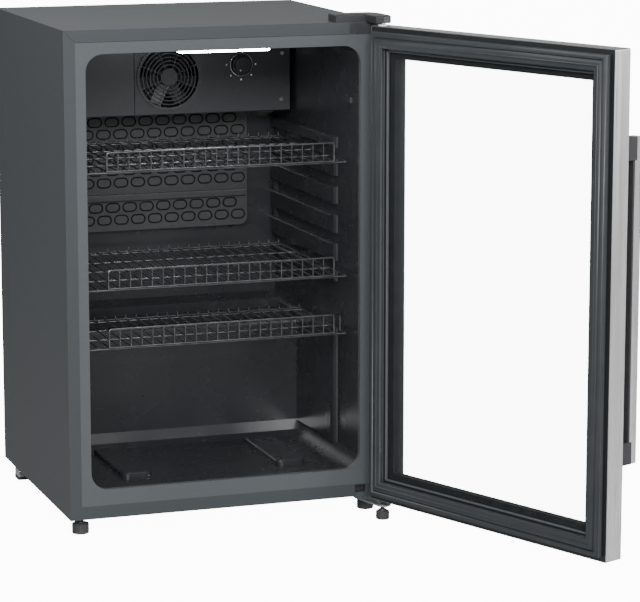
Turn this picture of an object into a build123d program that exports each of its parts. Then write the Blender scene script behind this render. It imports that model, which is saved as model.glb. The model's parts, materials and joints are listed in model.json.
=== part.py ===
"""Free-standing drinks fridge with a glass door, built as separate pieces.

Frame: +Z up, millimetres. The origin is on the floor, under the centre of the
cabinet. X runs along the width, right-hand side positive when facing the door,
and Y runs from the front (negative) to the back (positive). The door is made
closed and then turned open about its hinge axis.
"""
from build123d import *
import os
from math import cos, radians, sin

os.makedirs("parts", exist_ok=True)

# ---- Cabinet -------------------------------------------------------------------
WIDTH = 550
DEPTH = 484
CABINET_HEIGHT = 818
FOOT_HEIGHT = 26
SHEET = 1.2

HALF = WIDTH / 2
FRONT = -DEPTH / 2
BACK = DEPTH / 2
BOTTOM = FOOT_HEIGHT
TOP = FOOT_HEIGHT + CABINET_HEIGHT
INSIDE = HALF - SHEET
BASE_THICK = 1.5

# ---- Front face: folded flanges, plastic frame and bottom rail ------------------
FLANGE = 20
RAIL_HEIGHT = 22.5
FRAME_THICK = 10
OPENING_HALF = 238
OPENING_LOW = BOTTOM + 49.5
OPENING_HIGH = BOTTOM + 778.5
OPENING_CORNER = 30
CORNER_CAP_LEFT = 218

# ---- Liner ---------------------------------------------------------------------
SKIN = 1.5
REAR_HALF = 233
FLOOR = BOTTOM + 48
CAVITY_BACK = FRONT + 448
HUMP_FRONT = FRONT + 303
HUMP_TOP = BOTTOM + 262
HUMP_CORNER = 10
RISER_Y = FRONT + 411
RISER_TOP = BOTTOM + 278
SLOPE_TOP = BOTTOM + 286
RIB_START = FRONT + 110
RIB_DEPTH = 9
RIBS = [(592, 611), (543, 573), (494, 524), (443, 474), (394, 425), (358, 375)]
LEDGE = BOTTOM + 275
END_STOPS = [(474, 494), (425, 443)]

# ---- Compressor bay --------------------------------------------------------------
BAY_FRONT = FRONT + 341
BAY_TOP = BOTTOM + 225
FOAM_LOW = BOTTOM + 14

# ---- Housing at the top of the cavity: fan, dial and light --------------------------
PANEL_FRONT = FRONT + 345
PANEL_BOTTOM = BOTTOM + 632
PANEL_LEFT = -60
PANEL_RIGHT = 228
PANEL_WALL = 2.5
FAN_X = 2.5
FAN_Z = BOTTOM + 699
FAN_SIZE = 120
FAN_RING = 56
DIAL_X = 136.5
DIAL_Z = BOTTOM + 716.7
KNOB_RADIUS = 17.6
KNOB_HEIGHT = 16
LAMP_Y = FRONT + 43
LAMP_X = 10
LAMP_HALF = 78

# ---- Screws: (x, y) in the hinge plates, (x, z) in the panel --------------------------
TOP_SCREWS = [(215, FRONT + 12), (215, FRONT + 28), (250, FRONT + 20)]
BOTTOM_SCREWS = [(238, FRONT + 50), (262, FRONT + 50)]
PANEL_SCREWS = [(213, BOTTOM + 734.7), (211.5, BOTTOM + 651.6)]

# ---- Shelves: height of the crossing wires above the cabinet's bottom, and depth -----
SHELF_FRONT = FRONT + 47
SHELF_HALF = 230
GUARD_HALF = 212
GUARD_HEIGHT = 29
WIRE_PITCH = 20
CROSS_PITCH = 88
CROSS_RADIUS = 2.5
WIRE_RADIUS = 1.6
SHELVES = {"upper_shelf": (576, 402), "middle_shelf": (378.5, 402), "lower_shelf": (278.5, 285)}

# ---- Door ------------------------------------------------------------------------
HINGE_X = 265.5
HINGE_Y = FRONT - 31.5
REST_ANGLE = 112.4
DOOR_LOW = BOTTOM + 3
DOOR_HIGH = BOTTOM + 814
DOOR_INNER = FRONT - 14
DOOR_OUTER = FRONT - 50
SKIN_BORDER = 46
INNER_BORDER = 41
GASKET_START = 8.3
GASKET_END = 36
GASKET_FRONT = FRONT - 1.5
PANE_EDGE = 28
PANE = 4
INNER_PANE = FRONT - 20
OUTER_PANE = FRONT - 36
SPACER_START = 40
SPACER_END = 52

# ---- Handle -----------------------------------------------------------------------
HANDLE_INSET = 12.5
HANDLE_WIDTH = 20
HANDLE_STANDOFF = 28
HANDLE_THICK = 16
HANDLE_LOW = BOTTOM + 151
HANDLE_HIGH = BOTTOM + 673
POST_LENGTH = 36
POST_LAP = 2.7
INSERT_THICK = 2.5

# ---- Hinges and feet ----------------------------------------------------------------
PIN_RADIUS = 4
FIT = 0.06
BUSH_RADIUS = 6
BUSH_LENGTH = 14
PLATE = 3
STUD_RADIUS = 4
FOOT_X = 254
FOOT_Y = FRONT + 17
FOOT_RADIUS = 14.5
HINGE_FOOT_X = 257
HINGE_FOOT_Y = FRONT - 62
HINGE_FOOT_RADIUS = 11.7
SCREW_RADIUS = 2.5

# ---- Compressor and pipework ----------------------------------------------------------
COMPRESSOR_X = 110
COMPRESSOR_Y = FRONT + 410
COMPRESSOR_RADIUS = 60
COMPRESSOR_LOW = BOTTOM + 22
COMPRESSOR_HEIGHT = 165
MOUNT_REACH_X = 78
MOUNT_REACH_Y = 46
PIPE = 3
COIL_HALF = 210
COIL_PASSES = 11
COIL_PITCH = 45
COIL_LOW = BOTTOM + 275
COIL_Y = BACK + 9
GLAND_X = -200
GLAND_Z = BOTTOM + 30


def block(x0, x1, y0, y1, z0, z1):
    """Box between two corners."""
    centre = Pos((x0 + x1) / 2, (y0 + y1) / 2, (z0 + z1) / 2)
    return centre * Box(abs(x1 - x0), abs(y1 - y0), abs(z1 - z0))


def rod(start, end, radius):
    """Round bar from one point to another."""
    along = Vector(*end) - Vector(*start)
    bar = Cylinder(radius, along.length, align=(Align.CENTER, Align.CENTER, Align.MIN))
    return Plane(origin=start, z_dir=along) * bar


def turned(profile_points, x, y, z):
    """Solid of revolution about a vertical axis, from (radius, height) points."""
    outline = make_face(Polyline(*[(r, 0, h) for r, h in profile_points], close=True))
    return Pos(x, y, z) * revolve(outline, Axis.Z)


def plate_xy(points, z0, z1):
    """Flat plate with an outline in plan."""
    outline = make_face(Polyline(*[(x, y, z0) for x, y in points], close=True))
    return extrude(outline, amount=z1 - z0, dir=(0, 0, 1))


def mirrored(shape):
    """The shape and its mirror image on the other side of the cabinet, as a list."""
    return [shape, mirror(shape, Plane.YZ)]


def ring(border_out, border_in, y0, y1):
    """Picture-frame solid between two distances in from the door's edge."""
    outer_half = HALF - border_out
    inner_half = HALF - border_in
    outer = block(-outer_half, outer_half, y0, y1, DOOR_LOW + border_out, DOOR_HIGH - border_out)
    inner = block(-inner_half, inner_half, y0 - 1, y1 + 1, DOOR_LOW + border_in, DOOR_HIGH - border_in)
    return outer - inner


def open_door(shape):
    """Turn a piece of the closed door to the angle at which the door stands open."""
    return shape.rotate(Axis((HINGE_X, HINGE_Y, 0), (0, 0, 1)), REST_ANGLE)


def group(solids):
    """Several separate solids that share one node."""
    return Compound(children=[solid for item in solids for solid in item.solids()])


# ---- Outer case ------------------------------------------------------------------

def side_panel():
    """Right-hand painted side sheet with its folded front flange, mitred at the top."""
    wall = block(INSIDE, HALF, FRONT, BACK, BOTTOM, TOP)
    lip = block(HALF - FLANGE, INSIDE, FRONT, FRONT + SHEET, BOTTOM, TOP)
    mitre = [(HALF - FLANGE - 1, TOP - FLANGE - 1), (HALF + 1, TOP + 1), (HALF - FLANGE - 1, TOP + 1)]
    waste = make_face(Polyline(*[(x, FRONT - 1, z) for x, z in mitre], close=True))
    lip -= extrude(waste, amount=SHEET + 2, dir=(0, 1, 0))
    return wall + lip


def top_panel():
    """Worktop sheet with its folded front flange, which stops at the hinge corner."""
    sheet = block(-INSIDE, INSIDE, FRONT, BACK, TOP - SHEET, TOP)
    outline = [(-INSIDE, TOP - SHEET), (-HALF + FLANGE, TOP - FLANGE), (CORNER_CAP_LEFT, TOP - FLANGE),
               (CORNER_CAP_LEFT, TOP - SHEET)]
    lip = make_face(Polyline(*[(x, FRONT, z) for x, z in outline], close=True))
    shape = sheet + extrude(lip, amount=SHEET, dir=(0, 1, 0))
    for x, y in TOP_SCREWS:
        shape -= rod((x, y, TOP - 5), (x, y, TOP + 5), SCREW_RADIUS + 0.1)
    return shape


def back_panel():
    """Rear sheet from the compressor bay to the top."""
    return block(-INSIDE, INSIDE, BACK - SHEET, BACK, BAY_TOP, TOP - SHEET)


def rear_bracket():
    """Folded steel bracket that carries a rear foot pad."""
    outer = block(244, 268, FRONT + 405, FRONT + 435, 6, BOTTOM)
    inner = block(246, 266, FRONT + 404, FRONT + 436, 8, BOTTOM + 1)
    return outer - inner


def base_plate():
    """Galvanised base sheet, its two rear foot brackets and the tab that holds the cord gland."""
    sheet = block(-INSIDE, INSIDE, FRONT + SHEET, BACK, BOTTOM, BOTTOM + BASE_THICK)
    for x in (-FOOT_X, FOOT_X):
        sheet -= rod((x, FOOT_Y, BOTTOM - 5), (x, FOOT_Y, BOTTOM + 5), STUD_RADIUS + 0.5)
    for x, y in BOTTOM_SCREWS:
        sheet -= rod((x, y, BOTTOM - 5), (x, y, BOTTOM + 5), SCREW_RADIUS + 0.1)
    tab = block(GLAND_X - 20, GLAND_X + 20, BACK - BASE_THICK, BACK, BOTTOM + BASE_THICK, GLAND_Z + 18)
    tab -= rod((GLAND_X, BACK - 10, GLAND_Z), (GLAND_X, BACK + 10, GLAND_Z), 8)
    return group([sheet + tab] + mirrored(rear_bracket()))


def rear_foot_pads():
    """Two rubber pads under the rear brackets."""
    pad = block(243, 269, FRONT + 404, FRONT + 436, 0, 6)
    return group(mirrored(fillet(pad.edges().filter_by(Axis.Z), 4)))


def bottom_rail():
    """Painted rail under the door opening, with a small service slot near the hinge."""
    edge = HALF - FLANGE
    rail = block(-edge, edge, FRONT, FRONT + SHEET, BOTTOM, BOTTOM + RAIL_HEIGHT)
    slot = block(229, 248, FRONT - 1, FRONT + SHEET + 1, BOTTOM + 7.6, BOTTOM + 21.5)
    return rail - slot


def hinge_corner_cap():
    """Moulded cap that closes the front corner under the upper hinge."""
    low = TOP - FLANGE - 0.5
    shelf = block(CORNER_CAP_LEFT, 230, FRONT, FRONT + 8, low, TOP - SHEET)
    proud = block(230, HALF - FLANGE, FRONT - 0.7, FRONT + 8, low, TOP - SHEET)
    cheek = block(HALF - FLANGE, HALF, FRONT - 0.7, FRONT, low, TOP)
    return shelf + proud + cheek


def front_frame():
    """Moulded frame round the mouth of the cavity."""
    edge = HALF - FLANGE
    outer = block(-edge, edge, FRONT, FRONT + FRAME_THICK, BOTTOM + RAIL_HEIGHT, TOP - FLANGE - 0.5)
    mouth = block(-OPENING_HALF, OPENING_HALF, FRONT - 1, FRONT + FRAME_THICK + 1, OPENING_LOW, OPENING_HIGH)
    return outer - fillet(mouth.edges().filter_by(Axis.Y), OPENING_CORNER)


# ---- Insulation and liner -------------------------------------------------------------

def wall_line(y, offset):
    """Half-width of the liner wall at a depth, which narrows a little towards the back."""
    share = (y - FRONT) / (CAVITY_BACK - FRONT)
    return OPENING_HALF + (REAR_HALF - OPENING_HALF) * share + offset


def side_foam(y1, z0, z1):
    """Foam between a side panel and the liner, over one range of height and depth."""
    start = FRONT + FRAME_THICK
    gap = SKIN + 0.2
    inner_end = min(y1, CAVITY_BACK)
    points = [(INSIDE, start), (wall_line(start, gap), start), (wall_line(inner_end, gap), inner_end)]
    if y1 > CAVITY_BACK:
        points.append((wall_line(CAVITY_BACK, gap), y1))
    points.append((INSIDE, y1))
    return plate_xy(points, z0, z1)


def insulation():
    """Foam in the walls, as convex blocks round the cavity and the compressor bay."""
    start = FRONT + FRAME_THICK
    end = BACK - SHEET
    half = REAR_HALF + SKIN
    blocks = mirrored(side_foam(end, BAY_TOP + 1, TOP - SHEET))
    blocks += mirrored(side_foam(BAY_FRONT - 1, FOAM_LOW, BAY_TOP))
    blocks.append(block(-half, half, start, end, OPENING_HIGH + SKIN + 0.2, TOP - SHEET))
    blocks.append(block(-half, half, start, BAY_FRONT - 1, FOAM_LOW, FLOOR - SKIN - 0.2))
    blocks.append(block(-half, half, CAVITY_BACK + SKIN + 0.2, end, HUMP_TOP, OPENING_HIGH + SKIN))
    blocks.append(block(-half, half, HUMP_FRONT + SKIN + 0.2, BAY_FRONT - 1, FLOOR, BAY_TOP))
    step_front = HUMP_FRONT + SKIN + HUMP_CORNER
    blocks.append(block(-half, half, step_front, end, BAY_TOP + 1, HUMP_TOP - SKIN - 0.2))
    return group(blocks)


def cavity(grow):
    """Inside of the liner, grown by the skin's thickness for its outer surface."""
    middle = (FLOOR + OPENING_HIGH) / 2
    height = OPENING_HIGH - FLOOR + 2 * grow
    radius = OPENING_CORNER + grow
    mouth_plane = Plane(origin=(0, FRONT + FRAME_THICK, middle), x_dir=(1, 0, 0), z_dir=(0, 1, 0))
    back_plane = mouth_plane.offset(CAVITY_BACK + grow - FRONT - FRAME_THICK)
    mouth_half = wall_line(FRONT + FRAME_THICK, grow)
    mouth = mouth_plane * RectangleRounded(2 * mouth_half, height, radius)
    back = back_plane * RectangleRounded(2 * (REAR_HALF + grow), height, radius)
    return loft([mouth, back], ruled=True)


def hump(shrink):
    """Step in the liner over the compressor bay, with a cove at its foot."""
    far = CAVITY_BACK + 20
    front = HUMP_FRONT + shrink
    cove = 25
    top = HUMP_TOP - shrink
    outline = [(front - cove, FLOOR - 20), (front - cove, FLOOR - shrink),
               (front - cove * 0.3, FLOOR + cove * 0.3 - shrink), (front, FLOOR + cove - shrink),
               (front, top - HUMP_CORNER), (front + 0.3 * HUMP_CORNER, top - 0.3 * HUMP_CORNER),
               (front + HUMP_CORNER, top), (RISER_Y + shrink, top), (RISER_Y + shrink, RISER_TOP - shrink),
               (CAVITY_BACK, SLOPE_TOP - shrink), (far, SLOPE_TOP - shrink), (far, FLOOR - 20)]
    face = make_face(Polyline(*[(-HALF, y, z) for y, z in outline], close=True))
    return extrude(face, amount=WIDTH, dir=(1, 0, 0))


def side_rib(z0, z1):
    """Moulded rib on the right wall, with a rounded nose towards the door."""
    depth_end = CAVITY_BACK + 0.5
    nose = RIB_START + 14
    points = [(wall_line(RIB_START, 0.5), RIB_START), (wall_line(RIB_START, -3), RIB_START + 2),
              (wall_line(RIB_START, -6.5), RIB_START + 6), (wall_line(nose, -RIB_DEPTH), nose),
              (wall_line(CAVITY_BACK, -RIB_DEPTH), depth_end), (wall_line(CAVITY_BACK, 0.5), depth_end)]
    rib = plate_xy(points, z0, z1)
    inner_edges = rib.edges().filter_by(lambda e: abs(e.length - (depth_end - nose)) < 1)
    inner_edges = inner_edges.filter_by(lambda e: e.center().X < wall_line(FRONT + 280, -RIB_DEPTH / 2))
    return fillet(inner_edges, 3)


def end_stop(z0, z1):
    """Small upright at the back of an empty slot."""
    y0 = FRONT + 425
    return block(wall_line(y0, -RIB_DEPTH + 1), wall_line(y0, 0.5), y0, y0 + 15, z0, z1)


def inner_liner():
    """Thin formed liner with shelf ribs, the step over the compressor and two floor pads."""
    space = cavity(0) - hump(0)
    shell = cavity(SKIN) - hump(SKIN) - space
    pad = block(112, 165, FRONT + 72, FRONT + 270, FLOOR - 1, FLOOR + 8)
    pad = fillet(pad.edges().filter_by(Axis.Z), 12)
    details = [chamfer(pad.edges().group_by(Axis.Z)[-1], 2)]
    details += [side_rib(BOTTOM + low, BOTTOM + high) for low, high in RIBS]
    details.append(side_rib(FLOOR + 22, LEDGE) - hump(SKIN))
    details += [end_stop(BOTTOM + low, BOTTOM + high) for low, high in END_STOPS]
    for detail in details:
        for copy in mirrored(detail):
            shell += copy
    return shell


# ---- Cooling and control parts inside the cavity -----------------------------------------

def evaporator_plate():
    """Cold plate hung in front of the rear wall, with a raised band across it."""
    y0 = FRONT + 434
    plate = block(-175, 175, y0, y0 + 3, BOTTOM + 414, PANEL_BOTTOM - 1)
    plate = fillet(plate.edges().filter_by(Axis.Y), 15)
    band = block(-172, 172, y0 - 4, y0 + 1, BOTTOM + 467, BOTTOM + 481)
    band = fillet(band.edges().group_by(Axis.Y)[0].filter_by(Axis.X), 3)
    shape = plate + band
    for x in (-150, 150):
        for z in (BOTTOM + 428, BOTTOM + 545):
            shape += rod((x, y0 + 2, z), (x, CAVITY_BACK - 0.2, z), 5)
    return shape


def duct_cover():
    """Plain cover that carries the housing across to the left wall."""
    left = -PANEL_RIGHT
    right = PANEL_LEFT - 1
    outer = block(left, right, PANEL_FRONT, CAVITY_BACK - 2, PANEL_BOTTOM, OPENING_HIGH - 1)
    inner = block(left - 1, right - PANEL_WALL, PANEL_FRONT + PANEL_WALL, CAVITY_BACK,
                  PANEL_BOTTOM + PANEL_WALL, OPENING_HIGH + 1)
    corner = outer.edges().filter_by(Axis.X).sort_by(lambda e: e.center().Z + e.center().Y)[0]
    outer = fillet(corner, 2)
    return (outer - inner) - cavity_corner_waste()


def cavity_corner_waste():
    """What lies outside the cavity's rounded upper corners, 1 mm in from the liner."""
    around = block(-HALF, HALF, PANEL_FRONT - 1, CAVITY_BACK + 1, PANEL_BOTTOM - 5, TOP)
    return around - cavity(-1)


def control_panel():
    """Housing front with openings for the fan, the dial, the lamp and two screws."""
    outer = block(PANEL_LEFT, PANEL_RIGHT, PANEL_FRONT, CAVITY_BACK - 2, PANEL_BOTTOM, OPENING_HIGH - 1)
    inner = block(PANEL_LEFT + PANEL_WALL, PANEL_RIGHT - PANEL_WALL, PANEL_FRONT + PANEL_WALL, CAVITY_BACK,
                  PANEL_BOTTOM + PANEL_WALL, OPENING_HIGH + 1)
    corner = outer.edges().filter_by(Axis.X).sort_by(lambda e: e.center().Z + e.center().Y)[0]
    shape = fillet(corner, 2) - inner
    near = PANEL_FRONT - 1
    far = PANEL_FRONT + PANEL_WALL + 1
    shape -= rod((FAN_X, near, FAN_Z), (FAN_X, far, FAN_Z), FAN_RING)
    shape -= rod((DIAL_X, near, DIAL_Z), (DIAL_X, far, DIAL_Z), 5)
    for x, z in PANEL_SCREWS:
        shape -= rod((x, near, z), (x, far, z), 2.1)
    return shape - cavity_corner_waste()


def fan_frame():
    """Square fan housing with clipped corners, behind the panel."""
    y0 = PANEL_FRONT + PANEL_WALL
    half = FAN_SIZE / 2
    frame = block(FAN_X - half, FAN_X + half, y0, y0 + 25, FAN_Z - half, FAN_Z + half)
    frame = chamfer(frame.edges().filter_by(Axis.Y), 14)
    frame -= rod((FAN_X, y0 - 1, FAN_Z), (FAN_X, y0 + 26, FAN_Z), FAN_RING - 0.5)
    for angle in (45, 135):
        reach_x = (FAN_RING + 1) * cos(radians(angle))
        reach_z = (FAN_RING + 1) * sin(radians(angle))
        spoke_low = (FAN_X - reach_x, y0 + 22, FAN_Z - reach_z)
        spoke_high = (FAN_X + reach_x, y0 + 22, FAN_Z + reach_z)
        frame += rod(spoke_low, spoke_high, 2.5)
    return frame - rod((FAN_X, y0 + 10, FAN_Z), (FAN_X, y0 + 26, FAN_Z), 17)


def fan_guard():
    """Round finger guard on the panel: concentric rings, eight spokes and a plain centre disc."""
    y0 = PANEL_FRONT - 3.5
    centre = (FAN_X, y0, FAN_Z)
    shape = rod(centre, (FAN_X, y0 + 2, FAN_Z), 15)
    for step in range(6):
        radius = 22 + step * 6.6
        band = rod(centre, (FAN_X, y0 + 2, FAN_Z), radius + 0.9)
        band -= rod((FAN_X, y0 - 1, FAN_Z), (FAN_X, y0 + 3, FAN_Z), radius - 0.9)
        shape += band
    rim = rod((FAN_X, y0, FAN_Z), (FAN_X, PANEL_FRONT, FAN_Z), 59)
    shape += rim - rod((FAN_X, y0 - 1, FAN_Z), (FAN_X, PANEL_FRONT + 1, FAN_Z), FAN_RING - 0.5)
    for index in range(8):
        angle = radians(index * 45 + 22.5)
        reach = FAN_RING + 0.5
        shape += rod((FAN_X + 12 * cos(angle), y0 + 1, FAN_Z + 12 * sin(angle)),
                     (FAN_X + reach * cos(angle), y0 + 1, FAN_Z + reach * sin(angle)), 1)
    return shape


def fan_motor():
    """Small motor can with its shaft towards the door."""
    y0 = PANEL_FRONT + PANEL_WALL
    can = rod((FAN_X, y0 + 12, FAN_Z), (FAN_X, y0 + 26, FAN_Z), 16.8)
    return can + rod((FAN_X, y0 + 3, FAN_Z), (FAN_X, y0 + 13, FAN_Z), 2)


def fan_rotor():
    """Hub and seven pitched blades that turn on the motor shaft."""
    y0 = PANEL_FRONT + PANEL_WALL
    hub = rod((FAN_X, y0 + 1, FAN_Z), (FAN_X, y0 + 11, FAN_Z), 16)
    for index in range(7):
        blade = Pos(0, 0, 33) * Rot(0, 0, 24) * Box(20, 1.6, 38)
        hub += Pos(FAN_X, y0 + 6, FAN_Z) * Rot(0, index * 360 / 7, 0) * blade
    return hub - rod((FAN_X, y0 + 2.5, FAN_Z), (FAN_X, y0 + 12, FAN_Z), 2 + FIT)


def thermostat():
    """Thermostat body behind the panel, with its dial shaft."""
    y0 = PANEL_FRONT + PANEL_WALL
    body = block(DIAL_X - 19, DIAL_X + 19, y0 + 1, y0 + 29, DIAL_Z - 16, DIAL_Z + 16)
    body = fillet(body.edges().filter_by(Axis.Y), 3)
    return body + rod((DIAL_X, PANEL_FRONT - 12, DIAL_Z), (DIAL_X, y0 + 2, DIAL_Z), 3)


def dial_ring():
    """Raised ring round the knob."""
    y0 = PANEL_FRONT - 2
    band = rod((DIAL_X, y0, DIAL_Z), (DIAL_X, PANEL_FRONT, DIAL_Z), 22.8)
    return band - rod((DIAL_X, y0 - 1, DIAL_Z), (DIAL_X, PANEL_FRONT + 1, DIAL_Z), KNOB_RADIUS + 1)


def knob():
    """Turning knob with a grip bar and a pointer dimple, bored for the thermostat shaft."""
    near = PANEL_FRONT - KNOB_HEIGHT
    skirt = rod((DIAL_X, PANEL_FRONT - 8, DIAL_Z), (DIAL_X, PANEL_FRONT - 0.6, DIAL_Z), KNOB_RADIUS)
    grip = rod((DIAL_X, near, DIAL_Z), (DIAL_X, PANEL_FRONT - 7, DIAL_Z), KNOB_RADIUS - 2.5)
    grip = fillet(grip.edges().group_by(Axis.Y)[0], 1.5)
    shape = skirt + grip
    shape -= rod((DIAL_X - 6, near - 1, DIAL_Z - 9.5), (DIAL_X - 6, near + 0.6, DIAL_Z - 9.5), 1.6)
    return shape - rod((DIAL_X, PANEL_FRONT - 12.5, DIAL_Z), (DIAL_X, PANEL_FRONT, DIAL_Z), 3 + FIT)


def lamp_housing():
    """Long lamp base on the cavity's ceiling, just behind the front frame."""
    low = OPENING_HIGH - 3
    half = LAMP_HALF + 5
    base = block(LAMP_X - half, LAMP_X + half, LAMP_Y - 13, LAMP_Y + 13, low, OPENING_HIGH - 0.1)
    return fillet(base.edges().filter_by(Axis.Z), 5)


def lamp_lens():
    """Frosted lens under the lamp base."""
    low = OPENING_HIGH - 7
    lens = block(LAMP_X - LAMP_HALF, LAMP_X + LAMP_HALF, LAMP_Y - 10, LAMP_Y + 10, low, OPENING_HIGH - 3)
    return fillet(lens.edges().group_by(Axis.Z)[0], 3)


def door_sensor():
    """Small sensor fitting high on the right wall, just inside the door."""
    wall = wall_line(FRONT + 42, 0) - 0.4
    body = block(wall - 5, wall, FRONT + 37, FRONT + 67, BOTTOM + 677, BOTTOM + 687)
    return fillet(body.edges().group_by(Axis.X)[0], 2)


def panel_screws():
    """Two screws that hold the panel."""
    solids = []
    for x, z in PANEL_SCREWS:
        head = rod((x, PANEL_FRONT - 2, z), (x, PANEL_FRONT, z), 3.5)
        solids.append(head + rod((x, PANEL_FRONT - 0.5, z), (x, PANEL_FRONT + 14, z), 2))
    return group(solids)


# ---- Shelves -----------------------------------------------------------------------------

def shelf_grid(height, depth):
    """Base of a wire shelf: bars that ride in the wall slots, with fore-and-aft wires on top."""
    z = BOTTOM + height
    top = z + CROSS_RADIUS + WIRE_RADIUS - 0.3
    end = FRONT + depth
    count = round((depth - 52) / CROSS_PITCH)
    shape = rod((-SHELF_HALF, FRONT + 52, z), (SHELF_HALF, FRONT + 52, z), CROSS_RADIUS)
    for index in range(1, count + 1):
        y = FRONT + 52 + (end - FRONT - 52) * index / count
        shape += rod((-SHELF_HALF, y, z), (SHELF_HALF, y, z), CROSS_RADIUS)
    for index in range(-11, 12):
        x = index * WIRE_PITCH
        shape += rod((x, SHELF_FRONT + CROSS_RADIUS + 0.2, top), (x, end + 4, top), WIRE_RADIUS)
    return shape


def shelf_guard(height):
    """Upright wire rail along the front of a shelf, which stops bottles sliding off."""
    z = BOTTOM + height + CROSS_RADIUS + WIRE_RADIUS
    y = SHELF_FRONT
    shape = rod((-GUARD_HALF, y, z + GUARD_HEIGHT), (GUARD_HALF, y, z + GUARD_HEIGHT), CROSS_RADIUS)
    shape += rod((-GUARD_HALF, y, z), (GUARD_HALF, y, z), CROSS_RADIUS)
    for index in range(-10, 11):
        x = index * WIRE_PITCH
        shape += rod((x, y, z), (x, y, z + GUARD_HEIGHT), WIRE_RADIUS)
    return shape


# ---- Door ---------------------------------------------------------------------------------

def hinge_hole(radius):
    """Vertical hole through both ends of the door on the hinge axis."""
    low = rod((HINGE_X, HINGE_Y, DOOR_LOW - 5), (HINGE_X, HINGE_Y, DOOR_LOW + BUSH_LENGTH), radius)
    high = rod((HINGE_X, HINGE_Y, DOOR_HIGH - BUSH_LENGTH), (HINGE_X, HINGE_Y, DOOR_HIGH + 5), radius)
    return low + high


def handle_holes(radius, y0, y1):
    """Screw holes where the handle is fixed to the door."""
    x = -HALF + HANDLE_INSET + HANDLE_WIDTH / 2
    low = HANDLE_LOW + POST_LENGTH / 2
    high = HANDLE_HIGH - POST_LENGTH / 2
    return rod((x, y0, low), (x, y1, low), radius) + rod((x, y0, high), (x, y1, high), radius)


def door_skin():
    """Brushed steel outer frame of the door, folded back along all four edges."""
    outer = block(-HALF, HALF, DOOR_OUTER, DOOR_INNER, DOOR_LOW, DOOR_HIGH)
    outer = fillet(outer.edges().filter_by(Axis.Y) + outer.edges().group_by(Axis.Y)[0], 2.5)
    inner = block(-INSIDE, INSIDE, DOOR_OUTER + SHEET, DOOR_INNER + 1, DOOR_LOW + SHEET, DOOR_HIGH - SHEET)
    window = block(-HALF + SKIN_BORDER, HALF - SKIN_BORDER, DOOR_OUTER - 1, DOOR_INNER,
                   DOOR_LOW + SKIN_BORDER, DOOR_HIGH - SKIN_BORDER)
    screw_holes = handle_holes(SCREW_RADIUS + 0.1, DOOR_OUTER - 1, DOOR_INNER)
    return outer - inner - window - hinge_hole(BUSH_RADIUS) - screw_holes


def door_core():
    """Foam rails inside the door frame, rebated for the glass."""
    start = SHEET + 0.4
    deep = PANE_EDGE - 0.5
    lip = SKIN_BORDER - 1
    y0 = DOOR_OUTER + SHEET + 0.3
    y1 = DOOR_INNER - 2.3
    step = OUTER_PANE - 0.3
    stile = block(HALF - deep, HALF - start, y0, y1, DOOR_LOW + start, DOOR_HIGH - start)
    stile += block(HALF - lip, HALF - start, y0, step, DOOR_LOW + start, DOOR_HIGH - start)
    low = block(-HALF + lip + 0.3, HALF - lip - 0.3, y0, y1, DOOR_LOW + start, DOOR_LOW + deep)
    low += block(-HALF + lip + 0.3, HALF - lip - 0.3, y0, step, DOOR_LOW + start, DOOR_LOW + lip)
    middle = Plane(origin=(0, 0, (DOOR_LOW + DOOR_HIGH) / 2))
    hinge_side = stile - hinge_hole(BUSH_RADIUS)
    handle_side = mirror(stile, Plane.YZ) - handle_holes(5, DOOR_OUTER, DOOR_INNER)
    return group([hinge_side, handle_side, low, mirror(low, middle)])


def door_inner_frame():
    """Moulded frame on the inside of the door, which holds the gasket and the glass."""
    return ring(SHEET + 0.3, INNER_BORDER, DOOR_INNER - 2, DOOR_INNER)


def door_gasket():
    """Magnetic seal round the door, with a shallow groove along its face."""
    seal = ring(GASKET_START, GASKET_END, DOOR_INNER, GASKET_FRONT)
    return seal - ring(16.5, 19.5, GASKET_FRONT - 3, GASKET_FRONT + 1)


def pane(y0):
    """One sheet of the double glazing."""
    half = HALF - PANE_EDGE
    sheet = block(-half, half, y0, y0 + PANE, DOOR_LOW + PANE_EDGE, DOOR_HIGH - PANE_EDGE)
    return fillet(sheet.edges().filter_by(Axis.Y), 4)


def glass_spacer():
    """Aluminium spacer between the two panes."""
    return ring(SPACER_START, SPACER_END, OUTER_PANE + PANE, INNER_PANE)


def hinge_bushes():
    """Flanged nylon bushes at the door's lower and upper corners."""
    solids = []
    for face, way in ((DOOR_LOW, 1), (DOOR_HIGH, -1)):
        sleeve = rod((HINGE_X, HINGE_Y, face), (HINGE_X, HINGE_Y, face + way * BUSH_LENGTH), BUSH_RADIUS)
        flange = rod((HINGE_X, HINGE_Y, face), (HINGE_X, HINGE_Y, face - way * 1.5), BUSH_RADIUS + 2)
        bore = rod((HINGE_X, HINGE_Y, face - way * 2), (HINGE_X, HINGE_Y, face + way * (BUSH_LENGTH - 1)),
                   PIN_RADIUS + FIT)
        solids.append(sleeve + flange - bore)
    return group(solids)


def handle_bar():
    """Square stainless grip bar."""
    x0 = -HALF + HANDLE_INSET
    y1 = DOOR_OUTER - HANDLE_STANDOFF
    bar = block(x0, x0 + HANDLE_WIDTH, y1 - HANDLE_THICK, y1, HANDLE_LOW, HANDLE_HIGH)
    return fillet(bar.edges().filter_by(Axis.Z), 2)


def handle_insert():
    """Plastic strip along the bar's rear face, between the posts."""
    x0 = -HALF + HANDLE_INSET
    y1 = DOOR_OUTER - HANDLE_STANDOFF
    x1 = x0 + HANDLE_WIDTH
    return block(x0 + 2, x1 - 2, y1, y1 + INSERT_THICK, HANDLE_LOW + POST_LENGTH, HANDLE_HIGH - POST_LENGTH)


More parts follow.
